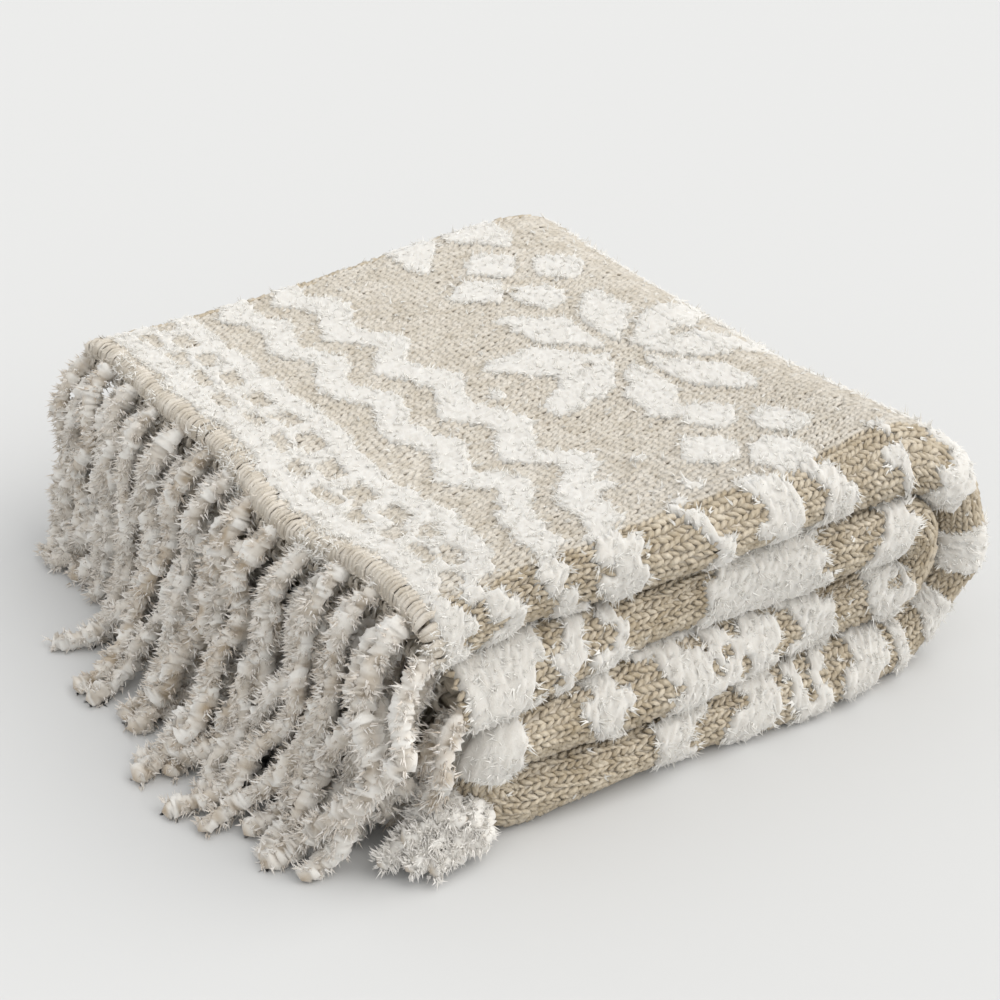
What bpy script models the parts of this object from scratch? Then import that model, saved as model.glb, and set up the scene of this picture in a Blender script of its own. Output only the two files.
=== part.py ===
"""A knitted throw, folded in thirds across its width and in quarters along its length.

Metres, +Z up. X runs from the fringed end to the rounded fold, Y from the open lips at the front
to the back. The cloth is made flat, as a slab, and then folded: first across its width into a
band of three layers, then along its length into four strips that lie on each other. Last, the
even stack settles as soft cloth does. The origin is under the middle of the whole thing.
"""

import math

import bmesh
import bpy
from mathutils import Vector
from mathutils.geometry import interpolate_bezier

# --- driving dimensions -------------------------------------------------------------------------
THROW_WIDTH = 1.25          # flat, selvedge to selvedge
THROW_LENGTH = 1.52         # flat, between the two fringed ends
CLOTH = 0.010               # thickness of the knit with its pile
LAYER = 0.0125              # from one layer of the folded cloth to the next
CENTRE_PANEL = 0.416        # flat run of the panel that shows, front fold to back fold
INNER_FLAP = 0.414          # the flap turned in at the back
FRONT_Y = -0.210            # where the flat run of the panels ends at the front
FRINGED_END_X = -0.185      # the top strip's edge
FOLD_CENTRE_X = 0.146       # axis of the rounded folds at the other end
LEFT_FOLD_X = -0.143        # axis of the fold under the fringe
BAND = 3 * LAYER            # three layers of cloth make one strip of the stack
STACK = 4 * BAND            # four strips, before they settle

EDGE_STRIP = 0.010          # the strip of loops that holds a fringe
PARTING = 0.0004            # between that strip and the cloth
STRAND = 0.010              # across a strand
TIP = 0.007                 # across its tip
ROOT_SHARE = 3              # a strand's root takes this part of a flat step of the cloth's edge
STRAIGHT_SHARE = 0.35       # share of a strand's fall that hangs nearly straight
SWAY = 0.004                # how far the feet drift sideways
SWAY_TURNS = 15             # in radians per metre along the fringe
BEND_SWAY = 0.8             # share of it at the bend
CORNER_SWAY = 0.028         # how far the strands at the front corner fall back under the edge
BACK_REACH = 0.40           # share by which the strands at the back reach out less,
BACK_REACH_Y = (0.0, 0.08)  # growing from the first place to the second,
FRONT_REACH = 0.30          # and those at the front corner
FRONT_REACH_Y = (-0.16, -0.22)
CORNER_SWAY_Y = (0.0, -0.22)

# How the stack settles
LEFT_HEIGHT = 0.985         # share of STACK left at the fringed end
RIGHT_HEIGHT = 1.030        # and at the rounded fold, where the cloth springs up
LIP_HEIGHT = 0.050          # share added where the front lips puff up
CORNER_DROOP = 0.070        # share lost at the front corner of the fringed end
CORNER_REACH = 0.090
CORNER = (-0.195, -0.222)
LIP_BOW = 0.003             # how far the lips at mid-height stand out
FRONT_LEAN = 0.022          # how much further forward the lowest lip lies than the top one
FRONT_SKEW = 0.050          # the front lies aslant, further forward at the rounded fold
END_SKEW = 0.055            # and the rounded fold reaches out further at the back
BACK_OUT = 0.0024           # how far the back folds stand out
# Each change grows smoothly from nothing at the first place to its whole size at the second.
RISE_X = (-0.10, 0.21)      # from LEFT_HEIGHT to RIGHT_HEIGHT
PUFF_Y = (-0.04, -0.20)
EDGE_X = (-0.05, -0.165)
END_X = (0.02, 0.20)
LIP_Y = (-0.08, -0.22)
BACK_Y = (0.10, 0.22)
WAVES = {
    # where     size      turns in radians per metre of x and of y, and up the stack   phase
    "top":    ((0.0060,   4, 24, 0,                                                    0.6),
               (0.0060,   14, -2, 0,                                                   0.6)),
    "edge":   ((0.0056,   0, 16, 0,                                                    2.8),
               (0.0032,   0, 35, 2,                                                    2.2)),
    "lip":    ((0.0045,   14, 0, 8,                                                    0.4),
               (0.0027,   31, 0, -13,                                                  0.0)),
    "back":   ((0.0040,   13, 0, 6,                                                    0.0),),
    "end":    ((0.0040,   0, 12, 5,                                                    0.0),),
}

# Across the width, in (y, depth), where depth counts from the band's middle layer to the face
# that shows. A straight run has a length. A half turn has a radius, positive when clockwise.
UNDER_FLAP = THROW_WIDTH - CENTRE_PANEL - INNER_FLAP - math.pi * (LAYER + LAYER / 2)
WIDTH_RUNS = (
    # run              length         radius          steps
    ("under_flap",     UNDER_FLAP,    None,           7),
    ("front_lip",      None,          LAYER,          6),
    ("centre_panel",   CENTRE_PANEL,  None,           8),
    ("back_fold",      None,          LAYER / 2,      4),
    ("inner_flap",     INNER_FLAP,    None,           8),
)
# Along the length, in (x, z), from the upper fringe to the lower one.
TOP_RUN = FOLD_CENTRE_X - FRINGED_END_X
MIDDLE_RUN = FOLD_CENTRE_X - LEFT_FOLD_X
THIRD_RUN = THROW_LENGTH - TOP_RUN - 2 * MIDDLE_RUN - math.pi * (1.5 + 0.5 + 0.5) * BAND
LENGTH_RUNS = (
    # run              length         radius          steps
    ("top_strip",      TOP_RUN,       None,           8),
    ("rounded_fold",   None,          1.5 * BAND,     11),
    ("bottom_strip",   MIDDLE_RUN,    None,           7),
    ("left_fold",      None,          0.5 * BAND,     6),
    ("second_strip",   MIDDLE_RUN,    None,           7),
    ("inner_fold",     None,          -0.5 * BAND,    6),
    ("third_strip",    THIRD_RUN,     None,           7),
)

# A strand hangs in a lane, a curve in (x, z) that the strands of two layers share side by side.
# It turns down in a quarter circle, falls from there and is drawn out to its foot by a bend.
LANES = {
    # lane      x of the fall   bend                foot
    "outer":  (-0.2145,         (-0.247, 0.006),    (-0.280, TIP / 2)),
    "middle": (-0.2035,         (-0.224, 0.012),    (-0.243, TIP / 2)),
    "inner":  (-0.1915,         (-0.193, 0.020),    (-0.195, TIP / 2)),
}
TURN_STEPS = (30, 60, 90)   # degrees of the quarter circle
FALL_STEPS = 5
FRINGES = (
    # node             station   lane of the under flap, of the rest   first root of the under flap
    ("fringe_upper",   0,        "middle",               "outer",      0),
    ("fringe_lower",   -1,       "middle",               "inner",      1),
)


def trace(runs, start, heading):
    """Stations (point, direction) along a path of straight runs and half turns in a plane."""
    point, angle = Vector(start), heading
    stations = [(point.copy(), Vector((math.cos(angle), math.sin(angle))))]
    for _, length, radius, steps in runs:
        turn = 0.0 if radius is None else -math.copysign(math.pi / steps, radius)
        chord = length / steps if radius is None else 2 * abs(radius * math.sin(turn / 2))
        for _ in range(steps):
            middle = angle + turn / 2
            point = point + chord * Vector((math.cos(middle), math.sin(middle)))
            angle += turn
            stations.append((point.copy(), Vector((math.cos(angle), math.sin(angle)))))
    return stations


def across_the_width():
    """The under flap runs to the front, and the lip brings the cloth up to the centre panel."""
    return trace(WIDTH_RUNS, (FRONT_Y + UNDER_FLAP, -LAYER), math.pi)


def along_the_length():
    return trace(LENGTH_RUNS, (FRINGED_END_X, STACK - BAND / 2), 0.0)


def left_of(direction):
    return Vector((-direction.y, direction.x))


def folded(along, across, height):
    """Where a point of the slab, this high over the cloth's middle, lies in the even stack."""
    spot = across[0] + height * left_of(across[1])
    at = along[0] + spot.y * left_of(along[1])
    return Vector((at.x, spot.x, at.y))


def rise(low, high, value):
    """0 at low, 1 at high and smooth between them."""
    share = min(1.0, max(0.0, (value - low) / (high - low)))
    return share * share * (3 - 2 * share)


def wave(where, x, y, up):
    """How far the cloth waves there, this share of the way up the stack."""
    return sum(size * math.sin(by_x * x + by_y * y + by_up * up + phase)
               for size, by_x, by_y, by_up, phase in WAVES[where])


def settled(point):
    """Where a point of the even, square stack comes to lie."""
    x, y, z = point
    up = z / STACK
    z = max(0.0, z - (LAYER - CLOTH) / 2)
    height = LEFT_HEIGHT + (RIGHT_HEIGHT - LEFT_HEIGHT) * rise(*RISE_X, x)
    height += LIP_HEIGHT * rise(*PUFF_Y, y)
    reach = math.hypot(x - CORNER[0], y - CORNER[1])
    height *= 1 - CORNER_DROOP * up * rise(CORNER_REACH, 0.0, reach)
    height *= 1 + wave("top", x, y, up)
    lip = LIP_BOW * math.sin(math.pi * up) + FRONT_LEAN * (0.5 - up) + FRONT_SKEW * x
    lip += wave("lip", x, y, up)
    back = BACK_OUT + wave("back", x, y, up)
    end = END_SKEW * y + wave("end", x, y, up)
    x_out = end * rise(*END_X, x) - wave("edge", x, y, up) * rise(*EDGE_X, x)
    y_out = back * rise(*BACK_Y, y) - lip * rise(*LIP_Y, y)
    return Vector((x + x_out, y + y_out, z * height))


def slab(alongs, rows):
    """A closed slab of cloth, its rim faces at the last station, and its points before settling.

    The flat grid's columns are the stations along the length. A row lies between two stations
    across the width, as far along as its share says, so a finer slab keeps the cloth's own edge.
    """
    bm = bmesh.new()
    columns, steps = len(alongs) - 1, len(rows) - 1
    bmesh.ops.create_grid(bm, x_segments=columns, y_segments=steps, size=0.5)
    face_up = bmesh.ops.extrude_face_region(bm, geom=bm.faces[:], use_keep_orig=True)["geom"]
    face_up = {item for item in face_up if isinstance(item, bmesh.types.BMVert)}
    rim = [face for face in bm.faces if min(vert.co.x for vert in face.verts) > 0.5 - 1e-6]
    rim.sort(key=lambda face: face.calc_center_median().y)
    even = {}
    for vert in bm.verts:
        along = alongs[round((vert.co.x + 0.5) * columns)]
        before, after, share = rows[round((vert.co.y + 0.5) * steps)]
        height = CLOTH / 2 if vert in face_up else -CLOTH / 2
        ends = folded(along, before, height), folded(along, after, height)
        even[vert] = ends[0].lerp(ends[1], share)
        vert.co = settled(ends[0]).lerp(settled(ends[1]), share)
    return bm, rim, even


def strand_route(root, lane):
    """A strand's points: its root, over and down into its lane, and out to its foot."""
    fall_x, *ends = LANES[lane]
    radius = root.x - fall_x
    turns = [math.radians(turn) for turn in TURN_STEPS]
    over = [root - radius * Vector((math.sin(a), 0.0, 1 - math.cos(a))) for a in turns]
    reach = 1 - BACK_REACH * rise(*BACK_REACH_Y, root.y)
    reach -= FRONT_REACH * rise(*FRONT_REACH_Y, root.y)
    sway = SWAY * math.sin(SWAY_TURNS * root.y) + CORNER_SWAY * rise(*CORNER_SWAY_Y, root.y)
    bend, foot = (
        Vector((fall_x + reach * (x - fall_x), root.y + share * sway, z))
        for (x, z), share in zip(ends, (BEND_SWAY, 1.0))
    )
    fall = Vector((0.0, 0.0, STRAIGHT_SHARE * (over[-1].z - bend.z)))
    lower = interpolate_bezier(over[-1], over[-1] - fall, bend, foot, FALL_STEPS + 1)
    return [root, *over, *lower[1:]]


def draw_strand(bm, face, even, lane):
    """Draws a face of the strip's rim out into a strand, ring by ring."""
    root = sum((even[vert] for vert in face.verts), Vector()) / len(face.verts)
    shape = {vert.co.copy().freeze(): even[vert] - root for vert in face.verts}
    half_width = max(abs(offset.y) for offset in shape.values())
    half_depth = max(abs(offset.z) for offset in shape.values())
    route = strand_route(root, lane)
    for step, place in enumerate(route[1:], 1):
        ahead = (route[min(step + 1, len(route) - 1)] - route[step - 1]).normalized()
        side = Vector((0.0, 1.0, 0.0))
        side = (side - side.dot(ahead) * ahead).normalized()
        over = side.cross(ahead)
        thick = STRAND + (TIP - STRAND) * (step / (len(route) - 1)) ** 3
        face = bmesh.ops.extrude_discrete_faces(bm, faces=[face])["faces"][0]
        drawn = {}
        for vert in face.verts:
            offset = shape[vert.co.copy().freeze()]
            across = thick / 2 / half_width * offset.y * side
            corner = settled(place + across + thick / 2 / half_depth * offset.z * over)
            vert.co = (corner.x, corner.y, max(0.0, corner.z))
            drawn[vert.co.copy().freeze()] = offset
        shape = drawn


def material(name, colour, roughness):
    made = bpy.data.materials.new(name)
    made.use_nodes = True
    shader = made.node_tree.nodes["Principled BSDF"]
    shader.inputs["Base Color"].default_value = (*colour, 1.0)
    shader.inputs["Roughness"].default_value = roughness
    shader.inputs["Metallic"].default_value = 0.0
    return made


def finished(bm, name, look):
    bmesh.ops.recalc_face_normals(bm, faces=bm.faces)
    mesh = bpy.data.meshes.new(name)
    bm.to_mesh(mesh)
    bm.free()
    mesh.shade_smooth()
    mesh.materials.append(look)
    node = bpy.data.objects.new(name, mesh)
    bpy.context.scene.collection.objects.link(node)
    return node


def build_blanket(look):
    rows = [(station, station, 0.0) for station in across_the_width()]
    return finished(slab(along_the_length(), rows)[0], "blanket", look)


def fringe_rows():
    """The strip's rows, with a flat step of the cloth cut in parts, and which rows each run has."""
    stations = across_the_width()
    rows, rows_of = [], {}
    at = 0
    for run, length, _, steps in WIDTH_RUNS:
        parts = 1 if length is None else ROOT_SHARE
        first = len(rows)
        for _ in range(steps):
            rows += [(stations[at], stations[at + 1], part / parts) for part in range(parts)]
            at += 1
        rows_of[run] = range(first, len(rows))
    rows.append((stations[-1], stations[-1], 0.0))
    return rows, rows_of


def build_fringe(name, station, flap_lane, lane, flap_root, look):
    """The strip of loops along one end of the cloth, with its strands in one piece."""
    end, heading = along_the_length()[station]
    outward = heading if station else -heading
    near = end + PARTING * outward
    rows, rows_of = fringe_rows()
    bm, rim, even = slab([(near, heading), (near + EDGE_STRIP * outward, heading)], rows)
    for run, length, _, _ in WIDTH_RUNS:
        places = rows_of[run]
        under = run == "under_flap"
        if length is None:
            roots = [places[len(places) // 2]]
        else:
            roots = places[flap_root if under else 0::2]
        for root in roots:
            draw_strand(bm, rim[root], even, flap_lane if under else lane)
    return finished(bm, name, look)


def stand_over_origin(nodes):
    """Moves the whole thing so that the middle of its box stands over the origin."""
    points = [vert.co for node in nodes for vert in node.data.vertices]
    low_x, high_x = min(p.x for p in points), max(p.x for p in points)
    low_y, high_y = min(p.y for p in points), max(p.y for p in points)
    middle = Vector(((low_x + high_x) / 2, (low_y + high_y) / 2, 0.0))
    for point in points:
        point -= middle


def main():
    for old in list(bpy.data.objects):
        bpy.data.objects.remove(old, do_unlink=True)
    knit = material("greige_knit", (0.584, 0.497, 0.381), 0.95)
    yarn = material("feather_yarn", (0.72, 0.69, 0.63), 0.98)
    nodes = [build_blanket(knit)]
    nodes += [build_fringe(*row, yarn) for row in FRINGES]
    stand_over_origin(nodes)


main()
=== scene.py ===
"""A knitted throw, folded into a stack, with figures of feather yarn and a thick fluffy fringe.

Metres, +Z up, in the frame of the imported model: the origin is under the middle of the whole thing.
X runs from the fringed end to the rounded fold, Y from the open lips at the front to the back.
Everything on the cloth is placed on the flat throw and then folded with it. A place on the flat
throw is (s, w, h): s along the length from the upper fringe, w across from the under flap's edge,
and h out of the middle of the cloth, towards the side with the figures.
"""

import math

import bmesh
import bpy
import numpy as np
from mathutils import Matrix, Vector


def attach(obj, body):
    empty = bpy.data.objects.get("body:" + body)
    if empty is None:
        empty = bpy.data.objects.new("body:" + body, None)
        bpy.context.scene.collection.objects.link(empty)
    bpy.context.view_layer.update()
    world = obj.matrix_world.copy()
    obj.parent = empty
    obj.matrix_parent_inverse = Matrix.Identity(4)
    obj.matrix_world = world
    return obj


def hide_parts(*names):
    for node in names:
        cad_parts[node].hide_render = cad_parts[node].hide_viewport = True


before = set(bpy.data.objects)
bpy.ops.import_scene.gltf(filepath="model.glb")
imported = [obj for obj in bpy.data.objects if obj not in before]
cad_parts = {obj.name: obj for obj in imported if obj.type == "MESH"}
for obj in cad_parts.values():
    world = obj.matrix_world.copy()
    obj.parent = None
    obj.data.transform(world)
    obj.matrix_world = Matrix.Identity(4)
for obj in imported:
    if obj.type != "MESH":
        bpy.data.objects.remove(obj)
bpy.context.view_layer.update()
rng = np.random.default_rng(7)

# --- The cloth ------------------------------------------------------------------------------------
# One length of double jacquard knit in greige wool blend. It is folded in thirds across its width
# and in quarters along its length, and settles as a soft stack does.
THROW_WIDTH = 1.25
THROW_LENGTH = 1.52
CLOTH = 0.010               # thickness of the knit with its pile
LAYER = 0.0125              # from one layer of the folded cloth to the next
CENTRE_PANEL = 0.416
INNER_FLAP = 0.414
FRONT_Y = -0.210            # where the flat run of the panels ends at the front
FRINGED_END_X = -0.185
FOLD_CENTRE_X = 0.146       # axis of the rounded folds at the other end
LEFT_FOLD_X = -0.143        # axis of the fold under the fringe
BAND = 3 * LAYER            # three layers of cloth make one strip of the stack
STACK = 4 * BAND
STACK_MIDDLE = np.array((-0.0308, -0.0112, 0.0))   # the frame's origin in these measures
LOWEST = 0.0003             # nothing lies lower over the surface that the throw rests on
GROUND = 0.0066             # thickness of the slab that backs the stitches

LEFT_HEIGHT = 0.985         # share of STACK left at the fringed end
FOLD_HEIGHT = 0.045         # share added at the rounded fold, where the cloth springs up
LIP_HEIGHT = 0.050          # share added where the front lips puff up
CORNER_DROOP = 0.070        # share lost at the front corner of the fringed end
CORNER_REACH = 0.090
CORNER = (-0.195, -0.222)
LIP_BOW = 0.003             # how far the lips at mid-height stand out
FRONT_LEAN = 0.022          # how much further forward the lowest lip lies than the top one
FRONT_SKEW = 0.050          # the front lies aslant, further forward at the rounded fold
END_SKEW = 0.055            # and the rounded fold reaches out further at the back
BACK_OUT = 0.0024           # how far the back folds stand out
RISE_X = (-0.10, 0.21)      # from where to where the height at the rounded fold comes in,
PUFF_Y = (-0.04, -0.20)     # the lips' height,
EDGE_X = (-0.05, -0.165)    # the waves of the fringed edge,
END_X = (0.02, 0.20)        # how far the rounded fold stands out,
LIP_Y = (-0.08, -0.22)      # the lips
BACK_Y = (0.10, 0.22)       # and the back folds

UNDER_FLAP = THROW_WIDTH - CENTRE_PANEL - INNER_FLAP - math.pi * (LAYER + LAYER / 2)
TOP_RUN = FOLD_CENTRE_X - FRINGED_END_X
MIDDLE_RUN = FOLD_CENTRE_X - LEFT_FOLD_X
THIRD_RUN = THROW_LENGTH - TOP_RUN - 2 * MIDDLE_RUN - math.pi * (1.5 + 0.5 + 0.5) * BAND
WIDTH_RUNS = (
    # run              length         radius          steps
    ("under_flap",     UNDER_FLAP,    None,           12),
    ("front_lip",      None,          LAYER,          14),
    ("centre_panel",   CENTRE_PANEL,  None,           24),
    ("back_fold",      None,          LAYER / 2,      10),
    ("inner_flap",     INNER_FLAP,    None,           12),
)
LENGTH_RUNS = (
    ("top_strip",      TOP_RUN,       None,           20),
    ("rounded_fold",   None,          1.5 * BAND,     24),
    ("bottom_strip",   MIDDLE_RUN,    None,           16),
    ("left_fold",      None,          0.5 * BAND,     14),
    ("second_strip",   MIDDLE_RUN,    None,           16),
    ("inner_fold",     None,          -0.5 * BAND,    14),
    ("third_strip",    THIRD_RUN,     None,           16),
)
WAVES = {
    # where     size      turns in radians per metre of x and of y, and up the stack   phase
    "top":    ((0.0060,   4, 24, 0,                                                    0.6),
               (0.0060,   14, -2, 0,                                                   0.6)),
    "edge":   ((0.0056,   0, 16, 0,                                                    2.8),
               (0.0032,   0, 35, 2,                                                    2.2)),
    "lip":    ((0.0045,   14, 0, 8,                                                    0.4),
               (0.0027,   31, 0, -13,                                                  0.0)),
    "back":   ((0.0040,   13, 0, 6,                                                    0.0),),
    "end":    ((0.0040,   0, 12, 5,                                                    0.0),),
}


def run_length(length, radius):
    return math.pi * abs(radius) if length is None else length


def starts_of(runs):
    """Where each run begins on the flat cloth."""
    lengths = [run_length(length, radius) for _, length, radius, _ in runs]
    return {run[0]: sum(lengths[:number]) for number, run in enumerate(runs)}


def stations(runs):
    """Even stations along all the runs."""
    at, found = 0.0, [0.0]
    for _, length, radius, steps in runs:
        span = run_length(length, radius)
        found += [at + span * step / steps for step in range(1, steps + 1)]
        at += span
    return np.array(found)


def walked(runs, start, heading, along):
    """Places along a path of straight runs and half turns in a plane, and the direction there."""
    point, angle, at = np.array(start), heading, 0.0
    place, turned = np.zeros((*along.shape, 2)), np.zeros(along.shape)
    for number, (_, length, radius, _) in enumerate(runs):
        span, past = run_length(length, radius), along - at
        here = (past >= 0) | (number == 0)
        if radius is None:
            way = np.array((math.cos(angle), math.sin(angle)))
            spot, face = point + past[..., None] * way, np.full(along.shape, angle)
            point = point + span * way
        else:
            centre = point + radius * np.array((math.sin(angle), -math.cos(angle)))
            face = angle - np.clip(past, 0, span) / radius
            spot = centre - radius * np.stack((np.sin(face), -np.cos(face)), -1)
            angle -= span / radius
            point = centre - radius * np.array((math.sin(angle), -math.cos(angle)))
        place[here], turned[here] = spot[here], face[here]
        at += span
    return place, turned


def rise(low, high, value):
    """0 at low, 1 at high and smooth between them."""
    share = np.clip((value - low) / (high - low), 0, 1)
    return share * share * (3 - 2 * share)


def wave(where, x, y, up):
    return sum(size * np.sin(by_x * x + by_y * y + by_up * up + phase)
               for size, by_x, by_y, by_up, phase in WAVES[where])


def settled(place):
    """Where points of the even, square stack come to lie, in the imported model's frame."""
    x, y, z = np.moveaxis(place, -1, 0)
    up = z / STACK
    z = z - (LAYER - CLOTH) / 2
    height = LEFT_HEIGHT + FOLD_HEIGHT * rise(*RISE_X, x)
    height = height + LIP_HEIGHT * rise(*PUFF_Y, y)
    reach = np.hypot(x - CORNER[0], y - CORNER[1])
    height = height * (1 - CORNER_DROOP * up * rise(CORNER_REACH, 0.0, reach))
    height = height * (1 + wave("top", x, y, up))
    lip = LIP_BOW * np.sin(math.pi * up) + FRONT_LEAN * (0.5 - up) + FRONT_SKEW * x
    lip = lip + wave("lip", x, y, up)
    back = BACK_OUT + wave("back", x, y, up)
    end = END_SKEW * y + wave("end", x, y, up)
    x_out = end * rise(*END_X, x) - wave("edge", x, y, up) * rise(*EDGE_X, x)
    y_out = back * rise(*BACK_Y, y) - lip * rise(*LIP_Y, y)
    return np.stack((x + x_out, y + y_out, np.maximum(z * height, LOWEST)), -1) - STACK_MIDDLE


def stacked(s, w, h):
    """Where places of the flat throw lie in the even stack, before it settles."""
    s, w, h = np.broadcast_arrays(s, w, h)
    across, turn_w = walked(WIDTH_RUNS, (FRONT_Y + UNDER_FLAP, -LAYER), math.pi, w)
    y = across[..., 0] - h * np.sin(turn_w)
    depth = across[..., 1] + h * np.cos(turn_w)
    along, turn_s = walked(LENGTH_RUNS, (FRINGED_END_X, STACK - BAND / 2), 0.0, s)
    x = along[..., 0] - depth * np.sin(turn_s)
    z = along[..., 1] + depth * np.cos(turn_s)
    return np.stack((x, y, z), -1)


def folded(place):
    """Where places (s, w, h) of the flat throw lie once it is folded and has settled."""
    return settled(stacked(place[..., 0], place[..., 1], place[..., 2]))


def unit(vectors):
    return vectors / np.linalg.norm(vectors, axis=-1, keepdims=True)


def hex_rgba(code):
    """An sRGB hex colour as linear red, green, blue and alpha."""
    values = [int(code[at:at + 2], 16) / 255 for at in (1, 3, 5)]
    return (*[v / 12.92 if v <= 0.04045 else ((v + 0.055) / 1.055) ** 2.4 for v in values], 1.0)


def add(tree, kind, inputs=None, **settings):
    """Adds a node, sets its properties, and sets or links each input."""
    node = tree.nodes.new("ShaderNode" + kind)
    for name, value in settings.items():
        setattr(node, name, value)
    for key, value in (inputs or {}).items():
        if isinstance(value, bpy.types.NodeSocket):
            tree.links.new(value, node.inputs[key])
        else:
            node.inputs[key].default_value = value
    return node


def new_material(name, settings):
    """A material with only a Principled shader, set so, with its node tree and that shader."""
    made = bpy.data.materials.new(name)
    made.use_nodes = True
    shader = made.node_tree.nodes["Principled BSDF"]
    for key, value in settings.items():
        shader.inputs[key].default_value = value
    return made, made.node_tree, shader


def at_points(mesh, value):
    """The place or the normal at each point of a mesh, as an array."""
    found = np.zeros(len(mesh.vertices) * 3)
    mesh.vertices.foreach_get(value, found)
    return found.reshape(-1, 3)


def dressed(mesh, name, look, soft=None, own=0.0, fibres=False):
    """A finished piece of the throw from its mesh, shaded smooth, or flat where it is of fibres.

    With soft, the shading follows those ways out instead, and its own surface by the share own.
    """
    if fibres:
        mesh.shade_flat()       # light falls on each side of a fibre as far as the side sees it
    else:
        mesh.shade_smooth()
    if soft is not None:
        normals = soft.reshape(-1, 3) + own * at_points(mesh, "normal")
        mesh.normals_split_custom_set_from_vertices(unit(normals))
    mesh.materials.append(look)
    piece = bpy.data.objects.new(name, mesh)
    bpy.context.scene.collection.objects.link(piece)
    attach(piece, "root")
    return piece


ROW = 0.0049                # from one knitted row to the next, along the throw
COLUMN = 0.0058             # from one column of stitches to the next, across it
V_SLANT = 0.6               # rows that a leg of a V climbs across its column
V_RELIEF = 0.0015           # how deep the Vs look on the ground


def stockinette():
    """Greige wool-blend jacquard, machine knitted: matt, with ranks of V stitches in relief and painted
    shade in their hollows.
    """
    look, tree, shader = new_material("wool_blend_stockinette",
                                      {"Roughness": 0.95, "Specular IOR Level": 0.2})
    flat = add(tree, "SeparateXYZ", {0: add(tree, "UVMap", uv_map="flat").outputs[0]})
    column = add(tree, "Math", {0: flat.outputs["Y"], 1: COLUMN}, operation="DIVIDE")
    side = add(tree, "Math", {0: column.outputs[0], 1: 1.0}, operation="PINGPONG")
    leg = add(tree, "Math", {0: side.outputs[0], 1: math.pi}, operation="MULTIPLY")
    across = add(tree, "Math", {0: leg.outputs[0]}, operation="SINE")
    row = add(tree, "Math", {0: flat.outputs["X"], 1: ROW}, operation="DIVIDE")
    slant = add(tree, "Math", {0: side.outputs[0], 1: -V_SLANT, 2: row.outputs[0]},
                operation="MULTIPLY_ADD")
    beat = add(tree, "Math", {0: slant.outputs[0], 1: 1.0}, operation="PINGPONG")
    relief = add(tree, "Math", {0: across.outputs[0], 1: beat.outputs[0]}, operation="MULTIPLY")
    bump = add(tree, "Bump", {"Height": relief.outputs[0], "Distance": V_RELIEF, "Strength": 0.8})
    # The ground is darker where the relief dips: painted shade in the hollows between the Vs
    colour = add(tree, "Mix", {0: relief.outputs[0], 6: hex_rgba("#B8AD9B"),
                               7: hex_rgba("#D0C7B9")}, data_type="RGBA")
    tree.links.new(colour.outputs[2], shader.inputs["Base Color"])
    tree.links.new(bump.outputs[0], shader.inputs["Normal"])
    return look


def grid_order(item):
    """A number that sets a point, edge or face of the unfolded slab in its order: up, along, across."""
    corners = getattr(item, "verts", (item,))
    middle = sum((vert.co for vert in corners), Vector()) / len(corners)
    return 4 * middle.z + middle.x + middle.y / 1000


def slab(name, alongs, acrosses, thick):
    """A closed slab of cloth, folded, with the flat throw as its UV map."""
    columns, rows = len(alongs) - 1, len(acrosses) - 1
    bm = bmesh.new()
    bmesh.ops.create_grid(bm, x_segments=columns, y_segments=rows, size=0.5)
    risen = bmesh.ops.extrude_face_region(bm, geom=bm.faces[:], use_keep_orig=True)["geom"]
    face_up = [item for item in risen if isinstance(item, bmesh.types.BMVert)]
    bmesh.ops.translate(bm, verts=face_up, vec=(0, 0, 1))
    bmesh.ops.recalc_face_normals(bm, faces=bm.faces)
    for items in (bm.verts, bm.edges, bm.faces):
        items.sort(key=grid_order)      # an extrusion leaves them in a new order at each run
    mesh = bpy.data.meshes.new(name)
    bm.to_mesh(mesh)
    bm.free()
    grid = at_points(mesh, "co")
    s = alongs[np.rint((grid[:, 0] + 0.5) * columns).astype(int)]
    w = acrosses[np.rint((grid[:, 1] + 0.5) * rows).astype(int)]
    place = np.stack((s, w, (grid[:, 2] - 0.5) * thick), -1)
    mesh.vertices.foreach_set("co", folded(place).ravel())
    corners = np.zeros(len(mesh.loops), int)
    mesh.loops.foreach_get("vertex_index", corners)
    mesh.uv_layers.new(name="flat").data.foreach_set("uv", place[corners, :2].ravel())
    mesh.update()
    return mesh


WIDTH_AT = starts_of(WIDTH_RUNS)
LENGTH_AT = starts_of(LENGTH_RUNS)
cloth = dressed(slab("cloth", stations(LENGTH_RUNS), stations(WIDTH_RUNS), GROUND),
                "cloth", stockinette())
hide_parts("blanket")

# --- The figures ----------------------------------------------------------------------------------
# The jacquard's chart: white lines, a flecked band and two zigzags next to the fringed end, then
# eight-petalled stars with diamonds between them. It is written in centimetres from the fringed
# end, and from where the front lip ends, and it says for each stitch whether its yarn is white.
CENTIMETRES = 100           # in a metre
WHITE_LINES = ((1.55, 0.75), (6.05, 0.65))      # middle and half width
FLECKED_BAND = (2.2, 5.4)
BAND_WHITE = 0.8            # share of its stitches that are white between the greige blots
BLOTS = ((2.9, 0.7, 0.0, 0.62), (4.6, 0.8, 0.4, 0.66))  # middle, half width, shift, share of a step
BLOT_STEP = 3.5
ZIGZAG_TURN = 6.95          # one whole zigzag
ZIGZAG_AT = 1.95            # where it reaches furthest from the fringe
ZIGZAGS = ((10.45, 0.85, 1.1), (14.95, 1.05, 1.2))      # middle, swing, half width
CORNER_PULL = 1.6           # the front corner pulls the lines and the band askew by so much,
CORNER_PULL_FROM = (8.0, 1.5)       # from the first place across the throw to the second,
CORNER_PULL_FULL = 5.0      # and in full from here along it
ZIGZAG_PULL = 0.8           # share of that pull on the zigzags
STARS = ((27.5, 18.9), (27.5, 46.8), (27.5, -9.0))
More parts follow.
